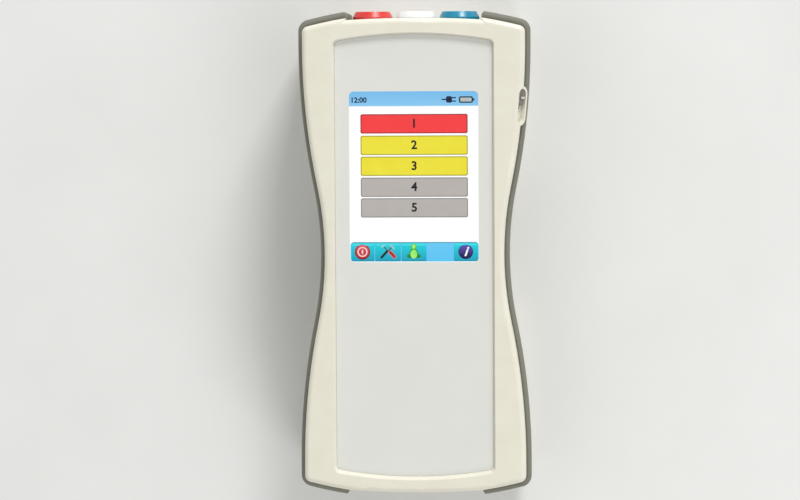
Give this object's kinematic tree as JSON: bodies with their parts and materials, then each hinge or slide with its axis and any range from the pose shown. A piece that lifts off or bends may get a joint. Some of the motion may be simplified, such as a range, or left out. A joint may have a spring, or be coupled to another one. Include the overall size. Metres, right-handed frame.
{
  "type": "otoacoustic emission analyzer",
  "caption": "Handheld hearing screener: waisted ivory case with grey side grips, colour touch screen, coloured round sockets on the end, sliding battery door and side power slider.",
  "frame": {"origin": "centre of the case in plan, on the surface that the rubber feet stand on", "axes": "+Z out of the screen, +Y towards the socket end, +X to the right seen from the front"},
  "size_m": [0.098, 0.2048, 0.052],
  "materials": {
    "ivory_shell": "fine satin moulded texture",
    "grey_grip": "soft matte",
    "plate_grey": "satin",
    "overlay_print": "fine matte film",
    "touch_glass": "clear, polished",
    "display_face": "lit screen",
    "white_plastic": "satin",
    "black_foam": "closed cell foam",
    "steel": "bright rolled sheet",
    "ribbon_film": "amber film",
    "red_ring": "glossy, slightly translucent",
    "white_ring": "glossy",
    "blue_ring": "glossy, slightly translucent",
    "socket_grey": "satin",
    "black_plastic": "moulded",
    "nickel": "plated",
    "gold": "gold plated",
    "circuit_green": "lacquered laminate",
    "chip_black": "moulded",
    "can_aluminium": "bright",
    "cell_steel": "bright",
    "wrap_film": "shrink film",
    "foot_rubber": "matte",
    "plate_silver": "satin blank film",
    "knob_grey": "ribbed, satin"
  },
  "bodies": {
    "case": {"front_housing": "ivory_shell", "rear_housing": "ivory_shell", "switch_bezel": "ivory_shell", "left_grip": "grey_grip", "right_grip": "grey_grip", "connector_plate": "plate_grey", "port_plate": "plate_grey", "front_overlay": "overlay_print", "touch_panel": "touch_glass", "display_panel": "display_face", "display_backlight": "white_plastic", "display_carrier": "white_plastic", "display_gasket": "black_foam", "speaker_gasket": "black_foam", "housing_seal": "black_foam", "display_frame": "steel", "shield_can": "steel", "housing_screws": "steel", "board_screws": "steel", "usb_port": "steel", "display_flex": "ribbon_film", "power_flex": "ribbon_film", "red_collar": "red_ring", "white_collar": "white_ring", "blue_collar": "blue_ring", "red_socket_shell": "socket_grey", "white_socket_shell": "socket_grey", "blue_socket_shell": "socket_grey", "red_socket_insert": "black_plastic", "white_socket_insert": "black_plastic", "blue_socket_insert": "black_plastic", "socket_header": "black_plastic", "coin_holder": "black_plastic", "power_jack": "black_plastic", "usb_tongue": "black_plastic", "switch_body": "black_plastic", "speaker": "black_plastic", "socket_nuts": "nickel", "coin_cell": "nickel", "power_pin": "nickel", "socket_contacts": "gold", "battery_contacts": "gold", "socket_board": "circuit_green", "main_board": "circuit_green", "port_board": "circuit_green", "processor": "chip_black", "memory_chips": "chip_black", "signal_converter": "chip_black", "capacitors": "can_aluminium", "battery_cells": "cell_steel", "battery_wrap": "wrap_film", "rear_feet": "foot_rubber", "rating_plate": "plate_silver"},
    "door": {"battery_door": "ivory_shell"},
    "slider": {"power_slider": "knob_grey"}
  },
  "joints": [
    {"name": "battery_door_slide", "type": "slide", "parent": "case", "child": "door", "axis": [0, -1, 0], "range_m": [0, 0.06]},
    {"name": "power_slide", "type": "slide", "parent": "case", "child": "slider", "axis": [-0.0875, -0.9962, 0], "range_m": [0, 0.004], "stiffness_N_per_m": 250, "springref_m": -0.001}
  ]
}
